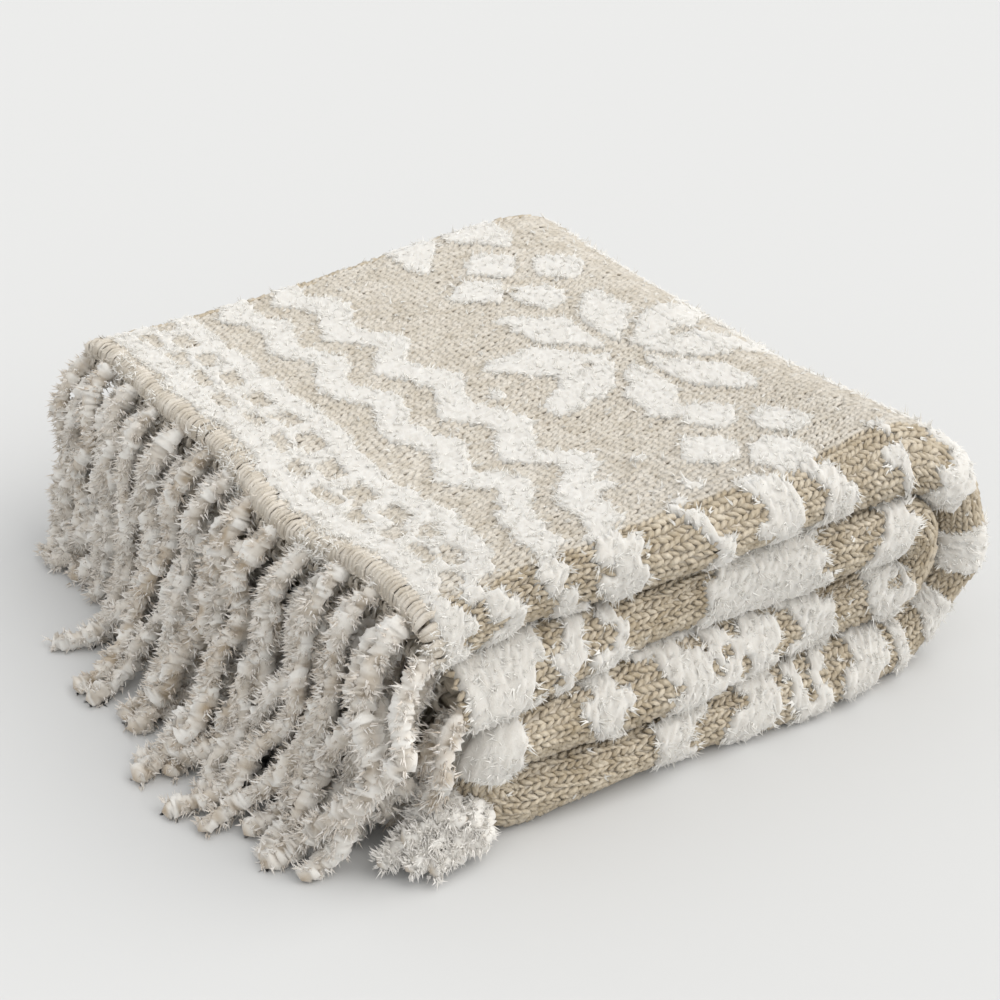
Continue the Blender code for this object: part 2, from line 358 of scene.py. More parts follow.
PETAL = ((1.1, 0.45), (6.0, 0.45), (9.1, 3.4), (8.6, 4.2), (4.9, 4.1))
DIAMONDS = ((28.0, 35.8), (25.0, 32.5), (31.6, 32.8), (28.0, 29.2),
            (25.9, 8.5), (22.4, 4.7), (28.8, 4.6), (25.5, 1.4))
DIAMOND_HALF = (1.8, 2.1)
DIAMOND_ROUND = 1.5         # 1 makes straight sides and 2 an oval
FLECKS = ((17.1, 18.9), (15.3, 4.7), (18.6, 6.6), (19.0, 1.6))
FLECK_HALF = 0.55
STAR_FIELD_END = 27.5       # the design runs back the same way from here,
STAR_FIELD_BACK = 10        # but for so much past it
NOSE_LINE = (37.3, 1.3, 0.6)        # along the rounded fold: middle, half width, share of white
DESIGN_REPEAT = 55
RAGGED = 0.0024             # metres; the yarns change over somewhat unevenly
LIP_OVER = 0.004            # metres; the lips' patches go on so far over the top
PATCH_LEAN = (0.35, 2)      # they lean by the first per centimetre across, from the second up
PATCH_WAVES = ((0.5, 2.1, 55), (0.4, 4.3, -130))    # size, radians per cm across, per metre along
LIP_PATCHES = {
    # strip           where its white patches begin and end, in centimetres from its left end
    "top_strip":      ((-1, 2), (3.5, 5), (7.3, 8.6), (11, 13), (17, 18), (21.5, 24), (26, 28),
                       (33, 36.5)),
    "second_strip":   ((5, 7), (10, 13), (14, 15), (16, 18), (20, 23), (27, 29)),
    "third_strip":    ((-1, 4.5), (6, 7), (9, 10), (16.5, 24.5), (29, 33)),
    "bottom_strip":   ((9, 12), (15, 17.5), (19, 20), (21, 22), (24, 27), (30, 34)),
}


def inside(outline, u, v):
    """Whether points lie in a closed outline."""
    found = np.zeros(u.shape, bool)
    for (u0, v0), (u1, v1) in zip(outline, outline[1:] + outline[:1]):
        crossed = (v0 > v) != (v1 > v)
        found ^= crossed & (u < (u1 - u0) * (v - v0) / (v1 - v0 + 1e-9) + u0)
    return found


def grain(s, w):
    """An even spread of random numbers that belongs to each stitch."""
    return np.abs(np.sin(s * 1271.3 + w * 3117.7) * 4375.85) % 1


def charted(s, v):
    """Whether the design is white there, in centimetres."""
    middle, half, share = NOSE_LINE
    white = (np.abs(s - middle) < half) & (grain(s, v) < share)
    s = np.where(s > STAR_FIELD_END + STAR_FIELD_BACK, 2 * STAR_FIELD_END - s, s)
    s = np.abs(s)
    pulled = CORNER_PULL * rise(*CORNER_PULL_FROM, v) * np.clip(s / CORNER_PULL_FULL, 0, 1)
    at = s + pulled
    for middle, half in WHITE_LINES:
        white |= np.abs(at - middle) < half
    blots = np.zeros(s.shape, bool)
    for middle, half, shift, share in BLOTS:
        blots |= (np.abs(at - middle) < half) & ((v / BLOT_STEP + shift) % 1 < share)
    band_start, band_end = FLECKED_BAND
    white |= (at > band_start) & (at < band_end) & ~blots & (grain(s, v) < BAND_WHITE)
    turn = ((v - ZIGZAG_AT) / ZIGZAG_TURN) % 1      # up to the first turn they run straight
    swing = np.where(v < ZIGZAG_AT + ZIGZAG_TURN / 2, -1, 2 * np.abs(2 * turn - 1) - 1)
    for middle, reach, half in ZIGZAGS:
        white |= np.abs(s + ZIGZAG_PULL * pulled - middle - reach * swing) < half
    for star_s, star_v in STARS:
        u, p = np.abs(s - star_s), np.abs(v - star_v)
        white |= inside(PETAL, np.maximum(u, p), np.minimum(u, p))
    for diamond_s, diamond_v in DIAMONDS:
        off = np.abs(s - diamond_s) / DIAMOND_HALF[0], np.abs(v - diamond_v) / DIAMOND_HALF[1]
        white |= off[0] ** DIAMOND_ROUND + off[1] ** DIAMOND_ROUND < 1
    for fleck_s, fleck_v in FLECKS:
        white |= np.hypot(s - fleck_s, v - fleck_v) < FLECK_HALF
    return white


def is_white(s, w):
    """Whether the stitch there is of white yarn, in metres on the flat throw."""
    s = s + RAGGED * (grain(w, s) - 0.5)
    w = w + RAGGED * (grain(s + 0.31, w) - 0.5)     # the shift makes it another grain
    v = (w - WIDTH_AT["centre_panel"]) * CENTIMETRES
    middle_run = MIDDLE_RUN * CENTIMETRES
    from_end = np.where(s < THROW_LENGTH / 2, s, THROW_LENGTH - s) * CENTIMETRES
    white = charted(from_end % DESIGN_REPEAT, v)
    in_lip = w < WIDTH_AT["centre_panel"] + LIP_OVER
    lefts = {"top_strip": s * CENTIMETRES,
             "second_strip": (s - LENGTH_AT["second_strip"]) * CENTIMETRES,
             "third_strip": (THROW_LENGTH - s) * CENTIMETRES,
             "bottom_strip": middle_run - (s - LENGTH_AT["bottom_strip"]) * CENTIMETRES}
    lean = PATCH_LEAN[0] * (v + PATCH_LEAN[1])
    for size, by_v, by_s in PATCH_WAVES:
        lean = lean + size * np.sin(v * by_v + s * by_s)
    for strip, left in lefts.items():
        begin = LENGTH_AT[strip]
        length = next(run_length(run[1], run[2]) for run in LENGTH_RUNS if run[0] == strip)
        here = in_lip & (s >= begin) & (s <= begin + length)
        patch = np.zeros(s.shape, bool)
        for low, high in LIP_PATCHES[strip]:
            patch |= (left + lean > low) & (left + lean < high)
        white = np.where(here, patch, white)
    return white


PAST_PANEL = 0.001          # the stitches go on so far past the panel that shows,
PAST_NOSE = 0.010           # under the rounded end,
PAST_FOLD = 0.006           # in between the lips and between the back folds,
PAST_LIP = 0.010            # and over the lips' upper edge
UPPER_BARE = 0.005          # none lies so near to the upper fringe's end,
LOWER_BARE = 0.008          # and so near to the lower one's,
LOWER_LIP = (0.012, 0.003)  # but on the front lip, up to so far over it, they go on past that end


def stitch_cells():
    """The middles of the stitches that can be seen: top, rounded end, lips and back folds."""
    lip, panel = WIDTH_AT["front_lip"], WIDTH_AT["centre_panel"]
    back, inner = WIDTH_AT["back_fold"], WIDTH_AT["inner_flap"]
    s = (np.arange(math.ceil(THROW_LENGTH / ROW) + 1) + 0.5) * ROW
    w = (np.arange(math.ceil(THROW_WIDTH / COLUMN)) + 0.5) * COLUMN
    s, w = (axis.ravel() for axis in np.meshgrid(s, w, indexing="ij"))
    seen = (w > panel - PAST_PANEL) & (w < back + PAST_PANEL)
    seen &= s < LENGTH_AT["bottom_strip"] + PAST_NOSE
    seen |= (w > lip - PAST_FOLD) & (w < panel + PAST_LIP)
    seen |= (w > back - PAST_FOLD) & (w < inner + PAST_FOLD)
    lip_over, lip_past = LOWER_LIP
    bare = np.where(w < panel + lip_over, -lip_past, LOWER_BARE)
    seen &= (s > UPPER_BARE) & (s < THROW_LENGTH - bare)
    return s[seen], w[seen]


def beside_greige(s, w):
    """Towards the greige stitches next to each stitch, along and across; zero in midst of white."""
    ways = ((1, 0), (-1, 0), (0, 1), (0, -1))
    return sum(~is_white(s + by_s * ROW, w + by_w * COLUMN)[:, None] * np.array((by_s, by_w))
               for by_s, by_w in ways)


ASKEW = (
    # size      radians per metre along and across
    ((0.0011,   23, 61), (0.0007, -90, 147)),       # moves along the throw
    ((0.0012,   47, 31), (0.0006, 171, 60)),        # and across it
)


def pulled_askew(s, w):
    """Where the stitches lie once the knit has been handled."""
    moved = [s, w]
    for way, waves in enumerate(ASKEW):
        for size, by_s, by_w in waves:
            moved[way] = moved[way] + size * np.sin(by_s * s + by_w * w)
    return moved


cell_s, cell_w = stitch_cells()
cell_white = is_white(cell_s, cell_w)
cell_edge = beside_greige(cell_s, cell_w)
cell_row, cell_column = (cell_s / ROW).astype(int), (cell_w / COLUMN).astype(int)
cell_s, cell_w = pulled_askew(cell_s, cell_w)

# --- The stitches ---------------------------------------------------------------------------------
# Every greige V of the knit has two legs of soft two-ply yarn. A leg dives under the next V at both
# of its ends. They are knitted by machine, so they differ little.
LEG_REACH = 1.90            # length of a leg, in rows
LEG_WIDE = 0.0029           # across a leg, flat on the cloth
LEG_HIGH = 0.0026
LEG_UP = GROUND / 2 + 0.0007    # its middle over the middle of the cloth
LEG_AT = (0.02, 0.46)       # its lower and upper end from the middle of the V, in columns
LEG_TWIST = 2.2             # turns of its two plies
LEG_UNEVEN = 0.12           # of its thickness
LEG_STRAY = 0.00035         # across and up
LEG_SLIP = 0.10             # along, in rows
LEG_ROUND = {"stitches_top": 2.2, "stitches_folds": 9.0}    # shaded as round, against flat
LEG_RINGS = (
    # along   width   lift
    (0.0,     0.02,   -0.55),
    (0.28,    0.92,   0.02),
    (0.72,    1.00,   0.18),
    (1.0,     0.02,   -0.50),
)
LEG_SIDES = 3
LEG_RADIUS = 0.58           # makes a ring with so few sides about one across
MOTTLE_SCALE = 85.0         # spots about 12 mm apart
MOTTLE_SPREAD = (1.9, -0.62)        # the mottling is so much stronger, and darker, than the noise
STITCH_SHADE = 0.32         # how much lighter one stitch may be than the next, and a ply's middle than its edges: painted shade in the groove between the plies
PLY_PAINTED_SHADE = 0.14            # and the middle of a ply than its edges
YARN_HAIR_SCALE = 1400.0    # hairs about 0.7 mm apart
YARN_RELIEF = 0.0006
PROBE = 0.0004              # from a place to the one next to it that shows a direction


def template(bm):
    """A small shape's points and triangles, as arrays."""
    bmesh.ops.triangulate(bm, faces=bm.faces)
    bmesh.ops.recalc_face_normals(bm, faces=bm.faces)
    bm.verts.index_update()
    points = np.array([vert.co for vert in bm.verts])
    faces = np.array([[vert.index for vert in face.verts] for face in bm.faces])
    bm.free()
    return points, faces


def mesh_of(name, points, faces, shades):
    """A mesh of triangles, with a shade of its own for each point."""
    corners = faces.ravel().astype(np.int32)
    mesh = bpy.data.meshes.new(name)
    mesh.vertices.add(points.size // 3)
    mesh.vertices.foreach_set("co", points.ravel())
    mesh.loops.add(len(corners))
    mesh.loops.foreach_set("vertex_index", corners)
    mesh.polygons.add(len(corners) // 3)
    mesh.polygons.foreach_set("loop_start", np.arange(0, len(corners), 3, dtype=np.int32))
    mesh.update(calc_edges=True)
    shade = mesh.attributes.new("shade", "FLOAT", "POINT")
    shade.data.foreach_set("value", shades.astype(np.float32))
    return mesh


def joined(name, points, faces, twist=None, shades=None):
    """One mesh of many copies of a small shape, points[copy, vertex], each with its own shade.

    A yarn's twist is, for each vertex of the shape, the turns along it and the direction round it.
    """
    copies, count = points.shape[:2]
    index = np.arange(copies)[:, None, None] * count + faces
    shades = rng.random(copies) if shades is None else shades
    mesh = mesh_of(name, points, index, np.repeat(shades, count))
    if twist is not None:
        ply = mesh.attributes.new("twist", "FLOAT_VECTOR", "POINT")
        ply.data.foreach_set("vector", np.tile(twist, (copies, 1)).astype(np.float32).ravel())
    return mesh


def leg_shape():
    """A three-sided leg from 0 to 1 along x, one across and one high, that dives at its ends."""
    bm = bmesh.new()
    rings = []
    for x, wide, lift in LEG_RINGS:
        ring = bmesh.ops.create_circle(bm, segments=LEG_SIDES, radius=LEG_RADIUS * wide)["verts"]
        bmesh.ops.rotate(bm, verts=ring, matrix=Matrix.Rotation(math.radians(90), 3, "Y"))
        bmesh.ops.rotate(bm, verts=ring, matrix=Matrix.Rotation(math.radians(90), 3, "X"))
        bmesh.ops.translate(bm, verts=ring, vec=(x, 0, lift))
        rings.append([edge for edge in bm.edges if edge.verts[0] in ring and edge.verts[1] in ring])
    for low, high in zip(rings, rings[1:]):
        bmesh.ops.bridge_loops(bm, edges=low + high)
    bmesh.ops.holes_fill(bm, edges=bm.edges, sides=0)
    for x, _, _ in (LEG_RINGS[0], LEG_RINGS[-1]):
        tip = [vert for vert in bm.verts if abs(vert.co.x - x) < 0.01]
        bmesh.ops.pointmerge(bm, verts=tip, merge_co=sum((v.co for v in tip), Vector()) / len(tip))
    return template(bm)


def two_ply_yarn(name, dark, light):
    """Greige wool-blend yarn, two soft plies: matt, a little mottled, with painted shade between its
    plies and a fine hairy relief.
    """
    look, tree, shader = new_material(name, {"Roughness": 0.9, "Specular IOR Level": 0.2,
                                             "Sheen Weight": 0.15})
    shade = add(tree, "Attribute", attribute_name="shade")
    twist = add(tree, "SeparateXYZ", {0: add(tree, "Attribute", attribute_name="twist").outputs[1]})
    turn = add(tree, "Math", {0: twist.outputs[0], 1: math.tau}, operation="MULTIPLY")
    sine = add(tree, "Math", {0: turn.outputs[0]}, operation="SINE")
    cosine = add(tree, "Math", {0: turn.outputs[0]}, operation="COSINE")
    part = add(tree, "Math", {0: sine.outputs[0], 1: twist.outputs[1]}, operation="MULTIPLY")
    ply = add(tree, "Math", {0: cosine.outputs[0], 1: twist.outputs[2], 2: part.outputs[0]},
              operation="MULTIPLY_ADD")
    object_at = add(tree, "TexCoord").outputs["Object"]
    mottle = add(tree, "TexNoise", {"Vector": object_at, "Scale": MOTTLE_SCALE, "Detail": 4.0})
    mixed = add(tree, "Math", {0: mottle.outputs[0], 1: MOTTLE_SPREAD[0], 2: MOTTLE_SPREAD[1]},
                operation="MULTIPLY_ADD")
    mixed = add(tree, "Math", {0: shade.outputs["Fac"], 1: STITCH_SHADE, 2: mixed.outputs[0]},
                operation="MULTIPLY_ADD")
    # Darker at a ply's edges: painted shade in the groove between the two plies
    mixed = add(tree, "Math", {0: ply.outputs[0], 1: PLY_PAINTED_SHADE, 2: mixed.outputs[0]},
                operation="MULTIPLY_ADD")
    ramp = add(tree, "ValToRGB", {0: mixed.outputs[0]})
    ramp.color_ramp.elements[0].color = hex_rgba(dark)
    ramp.color_ramp.elements[1].color = hex_rgba(light)
    hair = add(tree, "TexNoise", {"Vector": object_at, "Scale": YARN_HAIR_SCALE, "Detail": 2.0})
    relief = add(tree, "Math", {0: ply.outputs[0], 1: 0.5, 2: hair.outputs[0]},
                 operation="MULTIPLY_ADD")
    bump = add(tree, "Bump", {"Height": relief.outputs[0], "Distance": YARN_RELIEF,
                              "Strength": 0.8})
    tree.links.new(ramp.outputs[0], shader.inputs["Base Color"])
    tree.links.new(bump.outputs[0], shader.inputs["Normal"])
    return look


def out_of(points):
    """The way out of the cloth at these places of the flat throw, once it is folded."""
    return unit(folded(points + (0, 0, PROBE)) - folded(points))


def knitted(name, s, w, look):
    """The V stitches at these places of the flat throw."""
    shape, faces = leg_shape()
    along, across, up = shape.T
    lift = np.interp(along, [ring[0] for ring in LEG_RINGS], [ring[2] for ring in LEG_RINGS])
    around = np.stack((across, up - lift), -1)
    around /= np.maximum(np.linalg.norm(around, axis=-1, keepdims=True), 0.1)   # thin at its tips
    twist = np.concatenate((LEG_TWIST * along[:, None], around), -1)
    lower, upper = LEG_AT
    legs, outs = [], []
    for side in (-1, 1):
        jitter = rng.normal(0, 1, (4, len(s), 1))
        size = 1 + LEG_UNEVEN * jitter[0]
        middle = side * COLUMN * (lower + (upper - lower) * along) + LEG_STRAY * jitter[1]
        place = np.stack((
            s[:, None] + ROW * ((along - 0.5) * LEG_REACH + LEG_SLIP * jitter[2]),
            w[:, None] + middle + LEG_WIDE * size * across,
            LEG_UP + LEG_HIGH * size * up + LEG_STRAY * jitter[3],
        ), -1)
        legs.append(folded(place))
        outs.append(out_of(place))
    mesh = joined(name, np.concatenate(legs), faces, twist)
    return dressed(mesh, name, look, np.concatenate(outs), LEG_ROUND[name])


# The same yarn twice: on the folds darker and warmer, which is painted shade, and on the top paler and
# greyer, partly for a haze of white lint and partly painted light
yarn = two_ply_yarn("greige_two_ply_yarn", "#AA9B82", "#D6CBB8")
top_yarn_lint_and_light = two_ply_yarn("greige_two_ply_yarn_rubbed", "#C2B9AA", "#DBD5CB")
in_panel = (cell_w > WIDTH_AT["centre_panel"]) & (cell_w < WIDTH_AT["back_fold"])
on_top = in_panel & (cell_s < LENGTH_AT["rounded_fold"])
greige = ~cell_white
stitches = [
    knitted("stitches_top", cell_s[greige & in_panel], cell_w[greige & in_panel], top_yarn_lint_and_light),
    knitted("stitches_folds", cell_s[greige & ~in_panel], cell_w[greige & ~in_panel], yarn),
]

# --- The figures' pile ----------------------------------------------------------------------------
# White stitches are of polyester feather yarn, a thin core with soft fibres all round. They make
# a dense quilted pad, with wisps that stand up from it and overhang the greige stitches beside it.
# A few wisps of its lint cling to the greige stitches too.
PILE_HIGH = {"top": 0.0066, "lips": 0.0076, "back": 0.0068}     # over the middle of the cloth
PILE_DENT = 0.05                # share of that, between two stitches, and twice it between four
PILE_SQUARES = {"top": (2, 2), "lips": (2, 3), "back": (2, 2)}      # on each stitch
PILE_UNEVEN = {"top": 0.05, "lips": 0.09, "back": 0.08}
PILE_EDGE_UNEVEN = 0.0009       # how far its edge strays, and inside it by a share of that
PILE_INSIDE_UNEVEN = 0.3
PILE_SUNK = 0.001               # its underside lies so deep in the ground
TUFT_UP = GROUND / 2 + 0.0012
TUFT_STRAY = (0.0005, 0.0005, 0.0003)
WISPS = {"top": 5, "lips": 6, "back": 2, "lint": 1}     # a tuft's fibres cling together in wisps,
FIBRES = {"top": 3, "lips": 4, "back": 3, "lint": 4}    # of so many fibres
IN_THE_MIDST = {"top": 0.22, "lips": 0.85, "back": 0.5, "lint": 1}   # share kept away from greige
FIBRE_WIDE = 0.0010
FIBRE_LONG = {"top": (0.0028, 0.0056), "lips": (0.0030, 0.0068), "back": (0.0040, 0.0075),
              "lint": (0.0025, 0.0050)}
FIBRE_TURN = 0.2            # how far its ridge is turned away from the way out
WISP_LEAN = (1, 1, 0.3)     # how far wisps lean at random along, across and up,
WISP_UP = 0.65              # besides this much up
WISP_SPREAD = 0.26          # of the fibres in a wisp
WISP_ROOTS = (0.6 * ROW, 0.6 * COLUMN, 0.0006)      # how far wisps are rooted from a tuft's middle,
WISP_ROOT_UP = 0.0008
FIBRE_ROOTS = 0.0004        # and fibres from the middle of their wisp
LINT_SHARE = 0.07           # of the greige stitches
FEATHER_HAIR_SCALE = 900.0  # hairs about 1.1 mm apart
FEATHER_RELIEF = 0.0006


def feather_yarn(name, dark, light, depth):
    """Off-white polyester feather yarn: matt, and light passes from fibre to fibre."""
    look, tree, shader = new_material(name, {
        "Roughness": 1.0, "Specular IOR Level": 0.1, "Sheen Weight": 0.3,
        "Subsurface Weight": depth, "Subsurface Radius": (1.0, 0.95, 0.9), "Subsurface Scale": 0.003})
    shade = add(tree, "Attribute", attribute_name="shade")
    tint = add(tree, "Mix", {0: shade.outputs["Fac"], 6: hex_rgba(dark), 7: hex_rgba(light)},
               data_type="RGBA")
    object_at = add(tree, "TexCoord").outputs["Object"]
    hair = add(tree, "TexNoise", {"Vector": object_at, "Scale": FEATHER_HAIR_SCALE, "Detail": 3.0})
    bump = add(tree, "Bump", {"Height": hair.outputs[0], "Distance": FEATHER_RELIEF,
                              "Strength": 0.5})
    tree.links.new(tint.outputs[2], shader.inputs["Base Color"])
    tree.links.new(bump.outputs[0], shader.inputs["Normal"])
    return look


def spike():
    """A fibre: a slim three-sided cone from 0 to 1 along z, one across."""
    bm = bmesh.new()
    bmesh.ops.create_cone(bm, cap_ends=True, segments=3, radius1=0.5, radius2=0.0, depth=1.0)
    bmesh.ops.remove_doubles(bm, verts=bm.verts, dist=1e-4)
    bmesh.ops.translate(bm, verts=bm.verts, vec=(0, 0, 0.5))
    return template(bm)


def fibres_at(roots, tips, wide, out):
    """Slim spikes from each root to its tip, with a ridge outwards so that light falls on them."""
    shape, faces = spike()
    ahead = tips - roots
    side = unit(np.cross(out + rng.normal(0, FIBRE_TURN, ahead.shape), ahead))
    other = unit(np.cross(ahead, side))
    points = (roots[:, None] + shape[:, 2][None, :, None] * ahead[:, None]
              + wide * shape[:, 0][None, :, None] * side[:, None]
              + wide * shape[:, 1][None, :, None] * other[:, None])
    return points, faces


def tuft_middles(s, w):
    """Where the tufts of these stitches have their middles, on the flat throw."""
    middle = np.stack((s, w, np.full(len(s), TUFT_UP)), -1)
    return middle + rng.normal(0, 1, (len(s), 3)) * TUFT_STRAY


def fleece(part, rows, columns):
    """The dense base of the pile: a closed quilted pad over these stitches, some squares to each."""
    squares = np.array(PILE_SQUARES[part])
    white = np.zeros((rows.max() + 3, columns.max() + 3), bool)
    white[rows + 1, columns + 1] = True
    white = white.repeat(squares[0], 0).repeat(squares[1], 1)
    pad = white.copy()              # its yarn is thick, so it covers part of the stitches beside it
    pad[1:] |= white[:-1]
    pad[:-1] |= white[1:]
    pad[:, 1:] |= white[:, :-1]
    pad[:, :-1] |= white[:, 1:]
    inner = np.zeros(np.array(pad.shape) + 1, bool)
    inner[1:-1, 1:-1] = pad[:-1, :-1] & pad[1:, :-1] & pad[:-1, 1:] & pad[1:, 1:]
    a, b = np.nonzero(pad)
    corners = ((a, b), (a + 1, b), (a + 1, b + 1), (a, b + 1))
    used = np.zeros(inner.shape, bool)
    for corner in corners:
        used[corner] = True
    upper = np.zeros(inner.shape, int)
    upper[used] = np.arange(used.sum())
    lower = upper.copy()
    lower[inner] = used.sum() + np.arange(inner.sum())
    top = np.stack([upper[corner] for corner in corners], -1)
    under = np.stack([lower[corner] for corner in reversed(corners)], -1)
    sheets = np.concatenate((top, under))
    faces = np.concatenate((sheets[:, (0, 1, 2)], sheets[:, (0, 2, 3)]))
    at, raised = np.argwhere(used), inner[used]
    stitch = at / squares - 1
    s, w = pulled_askew(stitch[:, 0] * ROW, stitch[:, 1] * COLUMN)
    between = 2 * np.abs(stitch % 1 - 0.5)
    high = PILE_HIGH[part] * (1 - PILE_DENT * between.sum(-1))
    high = high * (1 + PILE_UNEVEN[part] * rng.normal(0, 1, len(at)))
    place = np.stack((s, w, np.where(raised, high, GROUND / 2)), -1)
    strays = np.where(raised, PILE_INSIDE_UNEVEN, 1.0)[:, None]
    place[:, :2] += strays * rng.normal(0, PILE_EDGE_UNEVEN, (len(at), 2))
    place = np.concatenate((place, place[raised] * (1, 1, 0) + (0, 0, GROUND / 2 - PILE_SUNK)))
    name = "pile_" + part + "_base"
    return dressed(mesh_of(name, folded(place), faces, rng.random(len(place))), name, feather)


def drawn_out(points):
    """How much longer the folds make it across the cloth there than on the flat throw."""
    return np.linalg.norm(folded(points + (0, PROBE, 0)) - folded(points), axis=-1) / PROBE


def wisps(part, middle, beside):
    """Wisps of fibres on these stitches of the flat throw."""
    name, count = "pile_" + part + "_fibres", len(middle)
    number, fibres = WISPS[part], FIBRES[part]
    outward = np.concatenate((beside, np.zeros((count, 1))), -1)[:, None, None]
    leans = rng.normal(0, 1, (count, number, 1, 3)) * WISP_LEAN + (0, 0, WISP_UP) + outward
    ways = unit(unit(leans) + rng.normal(0, WISP_SPREAD, (count, number, fibres, 3)))
    ways[..., 2] = np.abs(ways[..., 2])
    ways[..., 1] /= drawn_out(middle)[:, None, None]
    spots = rng.uniform(-1, 1, (count, number, 1, 3)) * WISP_ROOTS
    spots = spots + rng.normal(0, FIBRE_ROOTS, (count, number, fibres, 3))
    roots = middle[:, None, None] + spots + (0, 0, WISP_ROOT_UP)
    tips = roots + ways * rng.uniform(*FIBRE_LONG[part], (count, number, fibres, 1))
    grown = beside.any(-1)[:, None] | (rng.random((count, number)) < IN_THE_MIDST[part])
    roots, tips = roots[grown].reshape(-1, 3), tips[grown].reshape(-1, 3)
    points, faces = fibres_at(roots, tips, FIBRE_WIDE, (0, 0, 1))
    points, shades = folded(points), rng.random(len(points))
    handed = np.linalg.det(points[:, 1:] - points[:, :1])
    whole = handed * np.median(handed) > 0      # the tightest folds crush a few
    return dressed(joined(name, points[whole], faces, shades=shades[whole]), name, feather_fibre,
                   fibres=True)


# Light goes deep into the dense pads, and single fibres are bright and matt
feather = feather_yarn("feather_yarn", "#CBC7C0", "#D5D2CC", 0.8)
feather_fibre = feather_yarn("feather_yarn_fibre", "#DFDCD6", "#EBE9E4", 0.0)
at_lips = (cell_w < WIDTH_AT["centre_panel"]) & ~on_top
for part, seen in (("top", on_top), ("lips", at_lips), ("back", ~on_top & ~at_lips)):
    chosen = cell_white & seen
    fleece(part, cell_row[chosen], cell_column[chosen])
    wisps(part, tuft_middles(cell_s[chosen], cell_w[chosen]), cell_edge[chosen])
strewn = greige & (rng.random(len(cell_s)) < LINT_SHARE)
wisps("lint", tuft_middles(cell_s[strewn], cell_w[strewn]), cell_edge[strewn])

# --- The rolled edges -----------------------------------------------------------------------------
# Both ends of the throw are cast off in greige wool blend and roll over, so that the yarn wraps the
# edge in fine ribs with hairs and flecks of white fluff. The fringe is knotted in under the roll.
RIB = 0.0035                # from one rib to the next where they show
RIB_HIDDEN = 0.0064         # and between the inner layers
RIB_THICK = 0.0035
RIB_UNEVEN = (0.09, 0.12, 0.12)     # of its size, its thickness and its surface
RIB_STRAY = 0.0004          # along the edge
RIB_FIRST = {"under_flap": 0.004, "front_lip": 0.002, "inner_flap": 0.004}  # past where each begins
RIB_LAST = 0.003            # before the throw's other side
RIB_BARE_UPPER = 0.012      # the pile hides so much of the upper edge from the front lip on,
RIB_BARE_LOWER = (0.004, 0.012)     # and of the lower one from before that lip to past it
RIB_SLANT = 0.0030
RIB_TWIST = 0.45            # turns of its plies between two points of its path
RIB_SIDES = 4
RIB_PATH = np.array((
    # out      up        share of its thickness, from the figured side round to the other
    (-0.0070,  0.0040,   0.50),
    (-0.0042,  0.0054,   0.90),
    (0.0,      0.0056,   1.00),
    (0.0038,   0.0037,   1.00),
    (0.0053,   -0.0006,  1.00),
    (0.0038,   -0.0042,  1.00),
    (0.0,      -0.0056,  0.85),
    (-0.0040,  -0.0052,  0.50),
))
RIB_SMALL = (0.8, 0.62)     # the inner layers have room for this much of it, out and up
STRAY_LIMITS = (-1.5, 1.5)  # in standard deviations, so that no rib or strand strays wildly
FLECKED = (49, 118)         # radians per metre of y, from one flecked stretch to the next
FUZZ = {
    # what       share of the ribs' outer points   fibres   length            width    stray
    "hairs":    (0.90,                             2,       (0.0014, 0.0036), 0.0006,  0.0008),
    "flecks":   (0.55,                             8,       (0.0022, 0.0056), 0.0010,  0.0013),
}
FUZZ_DEEP = 0.0003          # its fibres are rooted so deep,
FUZZ_OUT = (0.5, 0.6)       # and point out by the first and anywhere by the second


def rib_faces():
    """The triangles of a closed tube with a ring of points at each turn."""
    faces = []
    for ring in range(len(RIB_PATH) - 1):
        for side in range(RIB_SIDES):
            near, far = ring * RIB_SIDES + side, ring * RIB_SIDES + (side + 1) % RIB_SIDES
            faces += [(near, far, far + RIB_SIDES), (near, far + RIB_SIDES, near + RIB_SIDES)]
    last = (len(RIB_PATH) - 1) * RIB_SIDES
    for side in range(1, RIB_SIDES - 1):
        faces += [(0, side + 1, side), (last, last + side, last + side + 1)]
    return np.array(faces)


